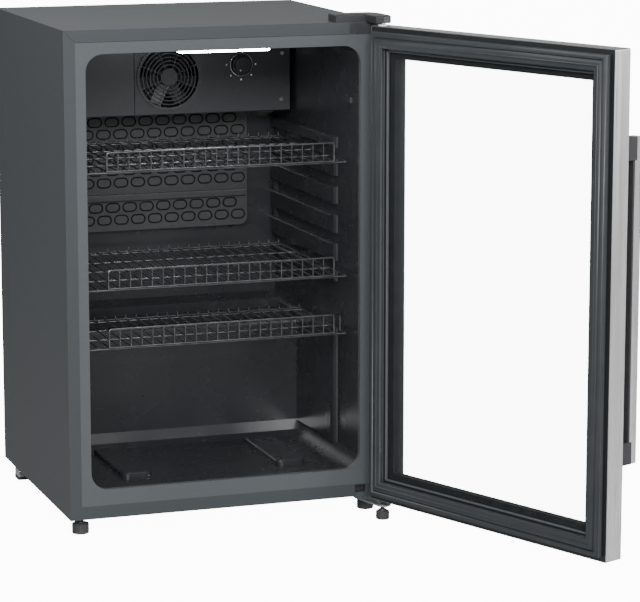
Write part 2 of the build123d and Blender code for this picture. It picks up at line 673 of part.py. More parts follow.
def handle_posts():
    """Two moulded posts that carry the bar, each with cheeks that lap its sides."""
    x0 = -HALF + HANDLE_INSET - 1.2
    x1 = x0 + HANDLE_WIDTH + 2.4
    y1 = DOOR_OUTER - HANDLE_STANDOFF
    solids = []
    for z0 in (HANDLE_LOW, HANDLE_HIGH - POST_LENGTH):
        post = block(x0, x1, y1 - POST_LAP, DOOR_OUTER, z0, z0 + POST_LENGTH)
        post -= block(x0 + 1.2, x1 - 1.2, y1 - POST_LAP - 1, y1, z0 - 1, z0 + POST_LENGTH + 1)
        solids.append(post - handle_holes(SCREW_RADIUS, DOOR_OUTER + 1, DOOR_OUTER - 22))
    return group(solids)


def handle_screws():
    """Two screws from inside the door into the posts."""
    heads = handle_holes(4.5, DOOR_OUTER + SHEET, DOOR_OUTER + SHEET + 3)
    return group([heads + handle_holes(SCREW_RADIUS - 0.1, DOOR_OUTER + SHEET + 1, DOOR_OUTER - 20)])


# ---- Hinges and feet -------------------------------------------------------------------------

def top_hinge():
    """Steel plate on the worktop with the pin that drops into the door."""
    points = [(202, FRONT + 4), (202, FRONT + 36), (262, FRONT + 36), (274, FRONT + 10), (274, FRONT - 30),
              (270, FRONT - 40), (261, FRONT - 41), (254, FRONT - 34), (250, FRONT + 4)]
    plate = plate_xy(points, TOP, TOP + PLATE)
    for x, y in TOP_SCREWS:
        plate -= rod((x, y, TOP - 1), (x, y, TOP + PLATE + 1), SCREW_RADIUS + 0.1)
    return plate + rod((HINGE_X, HINGE_Y, TOP + 1), (HINGE_X, HINGE_Y, DOOR_HIGH - BUSH_LENGTH + 2), PIN_RADIUS)


def hinge_cover():
    """Moulded cover that snaps over the upper hinge."""
    outline = [(194, FRONT + 2), (194, FRONT + 40), (268, FRONT + 40), (279, FRONT + 12), (279, FRONT - 34),
               (273, FRONT - 44), (262, FRONT - 46), (251, FRONT - 38), (246, FRONT + 2)]
    inset = [(196, FRONT + 4), (196, FRONT + 38), (266, FRONT + 38), (277, FRONT + 11), (277, FRONT - 33),
             (272, FRONT - 42), (262, FRONT - 44), (253, FRONT - 37), (248, FRONT + 4)]
    outer = plate_xy(outline, TOP + 0.2, TOP + 13)
    outer = fillet(outer.edges().group_by(Axis.Z)[-1], 3)
    return outer - plate_xy(inset, TOP - 1, TOP + 10.5)


def bottom_hinge():
    """Zinc plate under the cabinet that carries the lower pin and the hinge foot."""
    points = [(229, FRONT + 62), (272, FRONT + 62), (274, FRONT - 40), (270, FRONT - 68), (258, FRONT - 76),
              (248, FRONT - 68), (229, FRONT)]
    plate = plate_xy(points, BOTTOM - PLATE, BOTTOM)
    plate -= rod((FOOT_X, FOOT_Y, 0), (FOOT_X, FOOT_Y, BOTTOM + 1), STUD_RADIUS + 0.5)
    plate -= rod((HINGE_FOOT_X, HINGE_FOOT_Y, 0), (HINGE_FOOT_X, HINGE_FOOT_Y, BOTTOM + 1), STUD_RADIUS + FIT)
    for x, y in BOTTOM_SCREWS:
        plate -= rod((x, y, 0), (x, y, BOTTOM + 1), SCREW_RADIUS + 0.1)
    return plate + rod((HINGE_X, HINGE_Y, BOTTOM - 1), (HINGE_X, HINGE_Y, DOOR_LOW + BUSH_LENGTH - 2), PIN_RADIUS)


def hinge_screws():
    """Three screws through the upper hinge plate and two through the lower one."""
    solids = []
    for x, y in TOP_SCREWS:
        head = rod((x, y, TOP + PLATE), (x, y, TOP + PLATE + 3), 4.5)
        solids.append(head + rod((x, y, TOP - SHEET), (x, y, TOP + PLATE + 1), SCREW_RADIUS))
    for x, y in BOTTOM_SCREWS:
        head = rod((x, y, BOTTOM - PLATE - 3), (x, y, BOTTOM - PLATE), 4.5)
        solids.append(head + rod((x, y, BOTTOM - PLATE - 1), (x, y, BOTTOM + 8), SCREW_RADIUS))
    return group(solids)


def front_foot(x):
    """Levelling foot with a knurled skirt and a threaded stud."""
    profile = [(0, 0), (FOOT_RADIUS - 2, 0), (FOOT_RADIUS, 2), (FOOT_RADIUS, 16), (FOOT_RADIUS - 3, 19),
               (7, 21), (7, 22), (STUD_RADIUS, 22), (STUD_RADIUS, 37), (0, 37)]
    return turned(profile, x, FOOT_Y, 0)


def hinge_foot():
    """Smaller levelling foot under the lower hinge plate."""
    profile = [(0, 0), (HINGE_FOOT_RADIUS - 1.5, 0), (HINGE_FOOT_RADIUS, 2), (HINGE_FOOT_RADIUS, 12),
               (HINGE_FOOT_RADIUS - 3, 16), (6.5, 17), (5, 21), (STUD_RADIUS, 21.5),
               (STUD_RADIUS, BOTTOM + 1), (0, BOTTOM + 1)]
    return turned(profile, HINGE_FOOT_X, HINGE_FOOT_Y, 0)


def foot_nuts():
    """Two weld nuts on the base plate that take the front feet's studs."""
    solids = []
    for x in (-FOOT_X, FOOT_X):
        nut = Pos(x, FOOT_Y, BOTTOM + BASE_THICK) * extrude(RegularPolygon(8, 6), 10)
        solids.append(nut - rod((x, FOOT_Y, BOTTOM), (x, FOOT_Y, BOTTOM + 20), STUD_RADIUS + FIT))
    return group(solids)


# ---- Machine parts at the back -----------------------------------------------------------------

def compressor():
    """Welded compressor can on a pressed foot plate."""
    r = COMPRESSOR_RADIUS
    h = COMPRESSOR_HEIGHT
    profile = [(0, 0), (r * 0.55, 2), (r * 0.85, 12), (r * 0.97, 30), (r * 0.97, h * 0.5), (r + 2, h * 0.5),
               (r + 2, h * 0.5 + 5), (r, h * 0.5 + 5), (r, h * 0.72), (r * 0.93, h * 0.85), (r * 0.72, h * 0.95),
               (r * 0.4, h * 0.99), (0, h)]
    can = turned(profile, COMPRESSOR_X, COMPRESSOR_Y, COMPRESSOR_LOW)
    reach_x = MOUNT_REACH_X + 12
    reach_y = MOUNT_REACH_Y + 12
    plate = block(COMPRESSOR_X - reach_x, COMPRESSOR_X + reach_x, COMPRESSOR_Y - reach_y, COMPRESSOR_Y + reach_y,
                  COMPRESSOR_LOW - 1, COMPRESSOR_LOW + 2)
    plate = fillet(plate.edges().filter_by(Axis.Z), 12)
    for x in (-MOUNT_REACH_X, MOUNT_REACH_X):
        for y in (-MOUNT_REACH_Y, MOUNT_REACH_Y):
            plate -= rod((COMPRESSOR_X + x, COMPRESSOR_Y + y, 0), (COMPRESSOR_X + x, COMPRESSOR_Y + y, 200), 7)
    return can + plate


def compressor_mounts():
    """Four rubber grommets under the compressor's foot plate."""
    solids = []
    low = BOTTOM + BASE_THICK
    for x in (-MOUNT_REACH_X, MOUNT_REACH_X):
        for y in (-MOUNT_REACH_Y, MOUNT_REACH_Y):
            height = COMPRESSOR_LOW - low
            profile = [(0, 0), (10, 0), (10, height - 1), (6.9, height - 1), (6.9, height + 2), (9, height + 2),
                       (9, height + 5), (0, height + 5)]
            solids.append(turned(profile, COMPRESSOR_X + x, COMPRESSOR_Y + y, low))
    return group(solids)


def relay_cover():
    """Plastic box over the start relay, on the compressor's left side."""
    right = COMPRESSOR_X - COMPRESSOR_RADIUS - 2.5
    body = block(right - 38, right, COMPRESSOR_Y - 30, COMPRESSOR_Y + 30, COMPRESSOR_LOW + 40, COMPRESSOR_LOW + 110)
    return fillet(body.edges(), 4)


def tube(points, radius, bend):
    """Pipe through points, with every corner bent to the same radius."""
    path = FilletPolyline(*points, radius=bend)
    start = Plane(origin=path @ 0, z_dir=path % 0)
    return sweep(start * Circle(radius), path)


def coil_level(index):
    """Height of one pass of the condenser tube."""
    return COIL_LOW + index * COIL_PITCH


def condenser_tube():
    """Serpentine condenser tube across the back of the cabinet."""
    points = []
    for index in range(COIL_PASSES):
        ends = (-COIL_HALF, COIL_HALF) if index % 2 == 0 else (COIL_HALF, -COIL_HALF)
        points += [(x, COIL_Y, coil_level(index)) for x in ends]
    return tube(points, PIPE, COIL_PITCH * 0.48)


def condenser_wires():
    """Upright wires on both faces of the condenser tube."""
    solids = []
    offset = PIPE + 0.85
    for index in range(-11, 11):
        x = (index + 0.5) * 15
        for y in (COIL_Y - offset, COIL_Y + offset):
            solids.append(rod((x, y, coil_level(0) - 8), (x, y, coil_level(COIL_PASSES - 1) + 8), 0.8))
    return group(solids)


def condenser_clips():
    """Four clips that hold the condenser off the rear panel."""
    solids = []
    for x in (-170, 170):
        for index in (1, COIL_PASSES - 2):
            z = coil_level(index)
            clip = block(x - 6, x + 6, BACK, COIL_Y + PIPE + 2, z - 7, z + 7)
            solids.append(clip - rod((x - 7, COIL_Y, z), (x + 7, COIL_Y, z), PIPE + 0.2))
    return group(solids)


def filter_drier():
    """Copper filter drier standing beside the compressor."""
    profile = [(0, 0), (4, 0), (9, 12), (9, 88), (4, 100), (0, 100)]
    return turned(profile, -60, FRONT + 400, BOTTOM + 50)


def pipes():
    """Discharge pipe up to the condenser, and the return pipe into the cabinet."""
    top = COMPRESSOR_LOW + COMPRESSOR_HEIGHT * 0.6
    side = COMPRESSOR_X + COMPRESSOR_RADIUS
    discharge = tube([(side + 1, COMPRESSOR_Y, top), (side + 40, COMPRESSOR_Y, top), (side + 40, COIL_Y, top + 30),
                      (side + 40, COIL_Y, coil_level(0) - 40)], PIPE, 12)
    back_y = FRONT + 400
    back = tube([(-60, back_y, BOTTOM + 150), (-60, back_y, BOTTOM + 190), (-140, back_y, BOTTOM + 190),
                 (-140, back_y, BAY_TOP)], PIPE, 15)
    return group([discharge, back])


def drip_tray():
    """Evaporation tray over the compressor."""
    low = COMPRESSOR_LOW + COMPRESSOR_HEIGHT + 2
    outer = block(COMPRESSOR_X - 70, COMPRESSOR_X + 50, COMPRESSOR_Y - 50, COMPRESSOR_Y + 50, low, low + 26)
    outer = fillet(outer.edges().filter_by(Axis.Z), 12)
    inner = block(COMPRESSOR_X - 68, COMPRESSOR_X + 48, COMPRESSOR_Y - 48, COMPRESSOR_Y + 48, low + 2, low + 30)
    return outer - fillet(inner.edges().filter_by(Axis.Z), 10)


def cord_gland():
    """Flanged gland for the supply cord, in the base plate's rear tab."""
    body = rod((GLAND_X, BACK - 8, GLAND_Z), (GLAND_X, BACK + 8, GLAND_Z), 7.9)
    body += rod((GLAND_X, BACK, GLAND_Z), (GLAND_X, BACK + 3, GLAND_Z), 12)
    return body - rod((GLAND_X, BACK - 9, GLAND_Z), (GLAND_X, BACK + 9, GLAND_Z), 3.7)


PARTS = {
    "left_side_panel": lambda: mirror(side_panel(), Plane.YZ), "right_side_panel": side_panel,
    "top_panel": top_panel, "back_panel": back_panel, "base_plate": base_plate, "rear_foot_pads": rear_foot_pads,
    "bottom_rail": bottom_rail, "hinge_corner_cap": hinge_corner_cap, "front_frame": front_frame,
    "insulation": insulation, "inner_liner": inner_liner, "evaporator_plate": evaporator_plate,
    "duct_cover": duct_cover, "control_panel": control_panel, "fan_frame": fan_frame, "fan_guard": fan_guard,
    "fan_motor": fan_motor, "fan_rotor": fan_rotor, "thermostat": thermostat, "dial_ring": dial_ring, "knob": knob,
    "lamp_housing": lamp_housing, "lamp_lens": lamp_lens, "door_sensor": door_sensor, "panel_screws": panel_screws,
    "bay_front_panel": lambda: block(-INSIDE, INSIDE, BAY_FRONT - 1, BAY_FRONT, BOTTOM + BASE_THICK, BAY_TOP),
    "bay_top_panel": lambda: block(-INSIDE, INSIDE, BAY_FRONT - 1, BACK - SHEET, BAY_TOP, BAY_TOP + 1),
    "top_hinge": top_hinge, "hinge_cover": hinge_cover, "bottom_hinge": bottom_hinge, "hinge_screws": hinge_screws,
    "foot_nuts": foot_nuts, "front_left_foot": lambda: front_foot(-FOOT_X),
    "front_right_foot": lambda: front_foot(FOOT_X), "hinge_foot": hinge_foot, "compressor": compressor,
    "compressor_mounts": compressor_mounts, "relay_cover": relay_cover, "condenser_tube": condenser_tube,
    "condenser_wires": condenser_wires, "condenser_clips": condenser_clips, "filter_drier": filter_drier,
    "pipes": pipes, "drip_tray": drip_tray, "cord_gland": cord_gland,
}
DOOR_PARTS = {
    "door_skin": door_skin, "door_core": door_core, "door_inner_frame": door_inner_frame, "door_gasket": door_gasket,
    "inner_glass": lambda: pane(INNER_PANE), "outer_glass": lambda: pane(OUTER_PANE), "glass_spacer": glass_spacer,
    "hinge_bushes": hinge_bushes, "handle_bar": handle_bar, "handle_insert": handle_insert,
    "handle_posts": handle_posts, "handle_screws": handle_screws,
}

for name, make in PARTS.items():
    export_step(make(), f"parts/{name}.step")

for name, make in DOOR_PARTS.items():
    export_step(open_door(make()), f"parts/{name}.step")

for name, (height, depth) in SHELVES.items():
    export_step(group([shelf_grid(height, depth), shelf_guard(height)]), f"parts/{name}.step")
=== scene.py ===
"""Looks for the glass-door drinks fridge: materials, wire shelves, seal, feet, fine trim and studio."""
import json
import math
import bpy
from mathutils import Matrix, Vector


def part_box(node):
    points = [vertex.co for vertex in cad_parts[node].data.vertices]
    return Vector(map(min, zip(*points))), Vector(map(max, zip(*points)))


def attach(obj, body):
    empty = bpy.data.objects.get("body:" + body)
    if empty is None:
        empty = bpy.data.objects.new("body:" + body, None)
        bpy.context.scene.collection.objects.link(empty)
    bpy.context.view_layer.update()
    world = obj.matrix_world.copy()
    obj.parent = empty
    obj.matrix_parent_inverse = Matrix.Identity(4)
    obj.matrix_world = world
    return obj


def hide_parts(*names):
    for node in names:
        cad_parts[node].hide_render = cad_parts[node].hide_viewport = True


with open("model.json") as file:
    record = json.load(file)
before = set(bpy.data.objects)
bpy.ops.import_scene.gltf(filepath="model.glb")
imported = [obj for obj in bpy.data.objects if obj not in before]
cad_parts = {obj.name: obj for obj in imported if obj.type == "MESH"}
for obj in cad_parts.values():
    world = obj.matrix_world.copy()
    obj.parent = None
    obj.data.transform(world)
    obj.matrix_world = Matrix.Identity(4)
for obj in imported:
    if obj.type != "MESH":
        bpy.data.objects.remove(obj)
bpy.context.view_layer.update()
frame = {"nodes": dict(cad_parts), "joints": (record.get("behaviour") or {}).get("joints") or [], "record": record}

nodes = frame["nodes"]
MM = 0.001

# ---- Places taken from the frame -----------------------------------------------------------------
case_low, case_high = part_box("left_side_panel")
FRONT, BOTTOM = case_low.y, case_low.z
TOP = case_high.z
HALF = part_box("right_side_panel")[1].x
DOOR_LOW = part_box("door_skin")[0].z
DOOR_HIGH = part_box("door_skin")[1].z
DOOR_INNER = FRONT - 14 * MM


def joint(name):
    """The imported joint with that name."""
    return next(j for j in frame["joints"] if j["name"] == name)


hinge = joint("door_hinge")
HINGE = Vector((hinge["pos_m"][0], hinge["pos_m"][1], 0))
REST_ANGLE = math.radians(-hinge["range_deg"][0])
OPEN_DOOR = Matrix.Translation(HINGE) @ Matrix.Rotation(REST_ANGLE, 4, "Z") @ Matrix.Translation(-HINGE)


# ---- Materials -----------------------------------------------------------------------------------

class Paint:
    """A Principled material with short calls for the textures that these finishes share."""

    def __init__(self, name, colour, rough, metal=0.0, **sockets):
        self.material = bpy.data.materials.new(name)
        self.material.use_nodes = True
        self.tree = self.material.node_tree
        self.shader = self.tree.nodes["Principled BSDF"]
        self.coords = self.tree.nodes.new("ShaderNodeTexCoord").outputs["Object"]
        self.height = None
        self.set("Base Color", (*colour, 1))
        self.set("Roughness", rough)
        self.set("Metallic", metal)
        for socket, value in sockets.items():
            self.set(socket.replace("_", " "), value)

    def set(self, socket, value):
        """Sets one of the shader's own sockets."""
        self.shader.inputs[socket].default_value = value

    def noise(self, scale, detail=3.0, stretch=(1, 1, 1), rough=0.5):
        """Noise in the object's own space, stretched along an axis if asked."""
        mapping = self.tree.nodes.new("ShaderNodeMapping")
        mapping.inputs["Scale"].default_value = stretch
        self.tree.links.new(self.coords, mapping.inputs["Vector"])
        texture = self.tree.nodes.new("ShaderNodeTexNoise")
        texture.inputs["Scale"].default_value = scale
        texture.inputs["Detail"].default_value = detail
        texture.inputs["Roughness"].default_value = rough
        self.tree.links.new(mapping.outputs["Vector"], texture.inputs["Vector"])
        return texture.outputs["Fac"]

    def range(self, value, low, high, from_low=0.3, from_high=0.7):
        """Maps a texture's value to a range."""
        node = self.tree.nodes.new("ShaderNodeMapRange")
        node.inputs["From Min"].default_value = from_low
        node.inputs["From Max"].default_value = from_high
        node.inputs["To Min"].default_value = low
        node.inputs["To Max"].default_value = high
        self.tree.links.new(value, node.inputs["Value"])
        return node.outputs["Result"]

    def colours(self, value, low, high, from_low=0.35, from_high=0.65):
        """Base colour that runs between two colours."""
        ramp = self.tree.nodes.new("ShaderNodeValToRGB")
        ramp.color_ramp.elements[0].position = from_low
        ramp.color_ramp.elements[1].position = from_high
        ramp.color_ramp.elements[0].color = (*low, 1)
        ramp.color_ramp.elements[1].color = (*high, 1)
        self.tree.links.new(value, ramp.inputs["Fac"])
        self.tree.links.new(ramp.outputs["Color"], self.shader.inputs["Base Color"])

    def roughness(self, value, low, high):
        """Roughness that follows a texture."""
        self.tree.links.new(self.range(value, low, high), self.shader.inputs["Roughness"])

    def bump(self, value, strength, distance):
        """Adds one more layer of relief."""
        node = self.tree.nodes.new("ShaderNodeBump")
        node.inputs["Strength"].default_value = strength
        node.inputs["Distance"].default_value = distance
        self.tree.links.new(value, node.inputs["Height"])
        if self.height:
            self.tree.links.new(self.height, node.inputs["Normal"])
        self.height = node.outputs["Normal"]
        self.tree.links.new(self.height, self.shader.inputs["Normal"])


def moulded(name, low, high, rough, grain=900, strength=0.12):
    """Moulded plastic: fine grain in colour, gloss and relief."""
    paint = Paint(name, low, rough)
    paint.colours(paint.noise(300, 2), low, high)
    paint.roughness(paint.noise(240, 3), rough - 0.03, rough + 0.04)
    paint.bump(paint.noise(grain, 2), strength, 0.0003)
    return paint.material


def brushed(name, low, high, rough, stretch, strength=0.08):
    """Brushed metal: streaks along the rolling direction in colour, gloss and relief."""
    paint = Paint(name, low, rough, 1.0)
    streaks = paint.noise(260, 5, stretch, 0.6)
    paint.colours(paint.noise(60, 5, stretch, 0.7), low, high)
    paint.roughness(streaks, rough - 0.06, rough + 0.08)
    paint.bump(streaks, strength, 0.0002)
    paint.bump(paint.noise(3, 2), 0.04, 0.003)
    return paint.material


def powder_coat():
    """Slate powder coat with a faint orange-peel surface."""
    paint = Paint("slate_powder_coat", (0.034, 0.039, 0.042), 0.42, Specular_IOR_Level=0.25)
    paint.colours(paint.noise(500, 2), (0.031, 0.036, 0.039), (0.037, 0.042, 0.045))
    paint.roughness(paint.noise(700, 2), 0.38, 0.45)
    paint.bump(paint.noise(900, 3), 0.03, 0.0002)
    return paint.material


def zinc():
    """Zinc-coated sheet with soft spangle."""
    paint = Paint("galvanised", (0.5, 0.51, 0.52), 0.42, 0.9)
    cells = paint.tree.nodes.new("ShaderNodeTexVoronoi")
    cells.inputs["Scale"].default_value = 60
    paint.tree.links.new(paint.coords, cells.inputs["Vector"])
    paint.colours(cells.outputs["Distance"], (0.42, 0.44, 0.45), (0.58, 0.59, 0.6), 0.1, 0.8)
    paint.roughness(paint.noise(80, 4), 0.34, 0.55)
    paint.bump(paint.noise(500, 2), 0.05, 0.0002)
    return paint.material


def rubber():
    """Dark slate seal rubber with a soft shine."""
    paint = Paint("seal_rubber", (0.022, 0.025, 0.028), 0.42, Specular_IOR_Level=0.4)
    paint.colours(paint.noise(26, 5), (0.021, 0.024, 0.027), (0.025, 0.028, 0.031))
    paint.roughness(paint.noise(60, 4), 0.38, 0.48)
    paint.bump(paint.noise(1100, 2), 0.05, 0.0001)
    return paint.material


def foam():
    """Rigid insulating foam with open cells."""
    paint = Paint("rigid_foam", (0.75, 0.66, 0.42), 0.9)
    paint.colours(paint.noise(120, 5), (0.66, 0.57, 0.34), (0.82, 0.74, 0.52))
    paint.bump(paint.noise(700, 3), 0.5, 0.0008)
    return paint.material


def glass():
    """Clear toughened pane with a faint cool tint."""
    paint = Paint("clear_glass", (0.12, 0.14, 0.14), 0.02, Alpha=0.05, IOR=1.5)
    paint.roughness(paint.noise(6, 3), 0.01, 0.035)
    return paint.material


def lens():
    """Frosted lamp lens, lit from inside."""
    paint = Paint("lamp_lens_lit", (0.95, 0.97, 1.0), 0.5, Emission_Color=(0.93, 0.97, 1.0, 1),
                  Emission_Strength=70.0)
    paint.bump(paint.noise(900, 2), 0.1, 0.0002)
    return paint.material


def coated_wire():
    """Dark coated shelf wire with a soft metallic shine."""
    paint = Paint("dark_wire", (0.1, 0.102, 0.107), 0.36, 0.9)
    paint.colours(paint.noise(70, 4), (0.085, 0.087, 0.092), (0.125, 0.128, 0.134))
    paint.roughness(paint.noise(60, 3), 0.32, 0.42)
    return paint.material


def sealant():
    """Matt black sealant round the double glazing."""
    paint = Paint("black_sealant", (0.006, 0.006, 0.007), 0.6, Specular_IOR_Level=0.08)
    paint.colours(paint.noise(40, 3), (0.005, 0.005, 0.006), (0.008, 0.008, 0.009))
    return paint.material


def liner():
    """Smooth black inner moulding with a soft shine."""
    paint = Paint("black_liner", (0.014, 0.015, 0.017), 0.28)
    paint.colours(paint.noise(8, 3), (0.013, 0.014, 0.016), (0.016, 0.017, 0.019))
    paint.roughness(paint.noise(12, 3), 0.24, 0.31)
    paint.bump(paint.noise(14, 2), 0.03, 0.002)
    return paint.material


def enamel():
    """Thick black enamel with runs and dust."""
    paint = Paint("black_enamel", (0.018, 0.018, 0.02), 0.32, Coat_Weight=0.4, Coat_Roughness=0.15)
    paint.colours(paint.noise(12, 5), (0.013, 0.013, 0.015), (0.03, 0.03, 0.033))
    paint.bump(paint.noise(160, 3), 0.12, 0.0006)
    return paint.material


def copper():
    """Drawn copper, a little tarnished."""
    paint = Paint("drawn_copper", (0.7, 0.36, 0.22), 0.3, 1.0)
    paint.colours(paint.noise(50, 5), (0.42, 0.2, 0.12), (0.78, 0.42, 0.27))
    paint.roughness(paint.noise(90, 4), 0.22, 0.5)
    paint.bump(paint.noise(300, 2, (1, 1, 0.1)), 0.06, 0.0003)
    return paint.material


# One finish for each material slot of the record.
finishes = {
    "case_paint": powder_coat(),
    "galvanised_steel": zinc(),
    "frame_plastic": moulded("slate_frame_plastic", (0.047, 0.054, 0.058), (0.051, 0.058, 0.062), 0.34),
    "black_plastic": moulded("black_plastic", (0.014, 0.014, 0.016), (0.022, 0.022, 0.025), 0.38),
    "liner_plastic": liner(),
    "foam": foam(),
    "seal_rubber": rubber(),
    "foot_plastic": moulded("foot_plastic", (0.016, 0.016, 0.018), (0.028, 0.028, 0.031), 0.5),
    "knob_plastic": moulded("knob_plastic", (0.012, 0.012, 0.014), (0.018, 0.018, 0.02), 0.34),
    "bright_trim": brushed("bright_trim", (0.68, 0.69, 0.71), (0.8, 0.81, 0.83), 0.18, (1, 1, 1)),
    "cold_plate": moulded("cold_plate_grey", (0.03, 0.031, 0.033), (0.036, 0.037, 0.039), 0.3, 700, 0.02),
    "lens_plastic": lens(),
    "lamp_white": moulded("lamp_white", (0.72, 0.73, 0.74), (0.8, 0.81, 0.82), 0.35),
    "brushed_door": brushed("brushed_door_steel", (0.58, 0.58, 0.575), (0.7, 0.7, 0.695), 0.3, (1, 1, 0.02)),
    "door_glass": glass(),
    "spacer_metal": sealant(),
    "nylon": moulded("natural_nylon", (0.72, 0.71, 0.66), (0.8, 0.79, 0.75), 0.45),
    "zinc_plate": brushed("zinc_plate", (0.5, 0.51, 0.53), (0.64, 0.65, 0.67), 0.3, (1, 0.2, 1)),
    "shelf_wire": coated_wire(),
    "black_enamel": enamel(),
    "copper": copper(),
}


def dress(obj, material):
    """Gives a piece one material."""
    obj.data.materials.clear()
    obj.data.materials.append(material)


for entry in frame["record"]["subparts"]:
    dress(nodes[entry["node"]], finishes[entry["material_slot"]])

GUARD_WIRE = moulded("guard_grey", (0.04, 0.041, 0.044), (0.05, 0.051, 0.054), 0.25)
PANEL_BLACK = moulded("panel_black", (0.02, 0.02, 0.023), (0.026, 0.026, 0.03), 0.4, 1300, 0.2)
INNER_FRAME = moulded("door_frame_black", (0.009, 0.01, 0.011), (0.012, 0.013, 0.014), 0.32)
MARK_WHITE = moulded("printed_white", (0.62, 0.63, 0.64), (0.7, 0.71, 0.72), 0.5)
dress(nodes["fan_guard"], GUARD_WIRE)
dress(nodes["control_panel"], PANEL_BLACK)
dress(nodes["duct_cover"], PANEL_BLACK)
dress(nodes["door_inner_frame"], INNER_FRAME)
dress(nodes["dial_ring"], finishes["knob_plastic"])
dress(nodes["door_core"], finishes["spacer_metal"])


# ---- Mesh and wire helpers -----------------------------------------------------------------------

def add_piece(name, data, body, slot_name, material=None):
    """Links new data as a piece on a body, with its slot's finish unless another is given."""
    piece = bpy.data.objects.new(name, data)
    bpy.context.scene.collection.objects.link(piece)
    dress(piece, material or finishes[slot_name])
    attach(piece, body)
    return piece


def mesh_from(name, points, faces, smooth=True):
    """Mesh with smooth or flat faces, wound as the faces are given."""
    mesh = bpy.data.meshes.new(name)
    mesh.from_pydata([tuple(point) for point in points], [], faces)
    mesh.validate()
    mesh.shade_smooth() if smooth else mesh.shade_flat()
    return mesh


def lathe(name, outline, centre, segments=64, wave=None):
    """Solid of revolution about Z; wave(angle, height) may scale the radius, as knurling does."""
    points = []
    faces = []
    for radius, height in outline:
        for index in range(segments):
            angle = 2 * math.pi * index / segments
            reach = radius * (wave(angle, height) if wave else 1)
            points.append(Vector((reach * math.cos(angle), reach * math.sin(angle), height)) + centre)
    for row in range(len(outline) - 1):
        for index in range(segments):
            nxt = (index + 1) % segments
            faces.append((row * segments + index, row * segments + nxt,
                          (row + 1) * segments + nxt, (row + 1) * segments + index))
    faces.append(tuple(reversed(range(segments))))
    faces.append(tuple(range((len(outline) - 1) * segments, len(outline) * segments)))
    mesh = mesh_from(name, points, faces)
    mesh.set_sharp_from_angle(angle=math.radians(35))
    return mesh


def door_frame_sweep(name, profile, sharp=30):
    """Mitred frame round the closed door; a profile point is (distance from the edge, distance inwards)."""
    points = []
    for inset, depth in profile:
        x, low, high = HALF - inset, DOOR_LOW + inset, DOOR_HIGH - inset
        y = DOOR_INNER + depth
        for corner in ((-x, low), (x, low), (x, high), (-x, high)):
            points.append(OPEN_DOOR @ Vector((corner[0], y, corner[1])))
    faces = []
    count = len(profile)
    for row in range(count):
        following = (row + 1) % count
        for index in range(4):
            nxt = (index + 1) % 4
            faces.append((row * 4 + index, row * 4 + nxt, following * 4 + nxt, following * 4 + index))
    mesh = mesh_from(name, points, faces)
    mesh.set_sharp_from_angle(angle=math.radians(sharp))
    return mesh


def arc(centre, radius, start, end, steps):
    """Points of an arc in a plane, angles in degrees."""
    turn = [math.radians(start + (end - start) * i / steps) for i in range(steps + 1)]
    return [(centre[0] + radius * math.cos(a), centre[1] + radius * math.sin(a)) for a in turn]


def softened(points, radius, steps=5):
    """Wire path with each corner rounded."""
    path = [points[0]]
    for before, corner, after in zip(points, points[1:], points[2:]):
        inward = (before - corner).normalized()
        onward = (after - corner).normalized()
        for index in range(steps + 1):
            share = index / steps
            bend = corner + inward * radius * (1 - share) ** 2 + onward * radius * share ** 2
            path.append(bend)
    path.append(points[-1])
    return path


def wires(name, paths, body, slot_name):
    """One curve object with a round wire along each (path, radius)."""
    curve = bpy.data.curves.new(name, "CURVE")
    curve.dimensions = "3D"
    curve.bevel_depth = 1.0
    curve.bevel_resolution = 4
    curve.use_fill_caps = True
    for path, radius in paths:
        spline = curve.splines.new("POLY")
        spline.points.add(len(path) - 1)
        for point, place in zip(spline.points, path):
            point.co = (*place, 1)
            point.radius = radius
        spline.use_smooth = True
    return add_piece(name, curve, body, slot_name)


# ---- Shelves -------------------------------------------------------------------------------------

def shelf(node):
    """Welded wire shelf: wall bars, fore-and-aft wires turned up at both ends, and a hooped front rail."""
    low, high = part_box(node)
    bar, wire, rail, hoop_wire = 2 * MM, 1.15 * MM, 1.6 * MM, 1.8 * MM
    bar_spacing, bend, tick = 88 * MM, 3 * MM, 7 * MM
    pitch, gaps, guard_left = 19 * MM, 21, -192 * MM
    guard_right = guard_left + gaps * pitch
    bar_z = low.z + bar
    wire_z = bar_z + bar + wire - 0.3 * MM
    front = low.y + bar
    back = high.y - wire
    top = high.z - bar
    side = high.x
    paths = []
    bars = round((back - front) / bar_spacing)
    for index in range(bars + 1):
        y = front + 3 * MM + (back - front - 7 * MM) * index / bars
        paths.append(([Vector((-side, y, bar_z)), Vector((side, y, bar_z))], bar))
    for index in range(-1, gaps + 2):
        x = guard_left + index * pitch
        rear_up = Vector((x, back, wire_z + tick))
        rear = Vector((x, back, wire_z))
        near = Vector((x, front, wire_z))
        near_up = Vector((x, front, top))
        run = [rear_up, rear, near, near_up] if 0 < index < gaps else [rear_up, rear, near]
        paths.append((softened(run, bend), wire))
    hoop = [Vector((guard_left, front, wire_z)), Vector((guard_left, front, top)),
            Vector((guard_right, front, top)), Vector((guard_right, front, wire_z))]
    paths.append((softened(hoop, 5 * MM, 6), hoop_wire))
    paths.append(([Vector((guard_left, front, wire_z)), Vector((guard_right, front, wire_z))], rail))
    if node == "lower_shelf":
        side_x, side_y = guard_right + 16 * MM, front + 14 * MM
        loop = [Vector((guard_right, front + 3 * MM, top)), Vector((side_x, side_y, top)),
                Vector((side_x, side_y, wire_z))]
        paths.append((softened(loop, 9 * MM, 8), rail))
    paths.append(([Vector((-side + 6 * MM, back, wire_z)), Vector((side - 6 * MM, back, wire_z))], wire))
    piece = wires(node + "_wire", paths, node, "shelf_wire")
    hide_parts(node)


for shelf_node in ("upper_shelf", "middle_shelf", "lower_shelf"):
    shelf(shelf_node)


# ---- Door seal and window bead -------------------------------------------------------------------

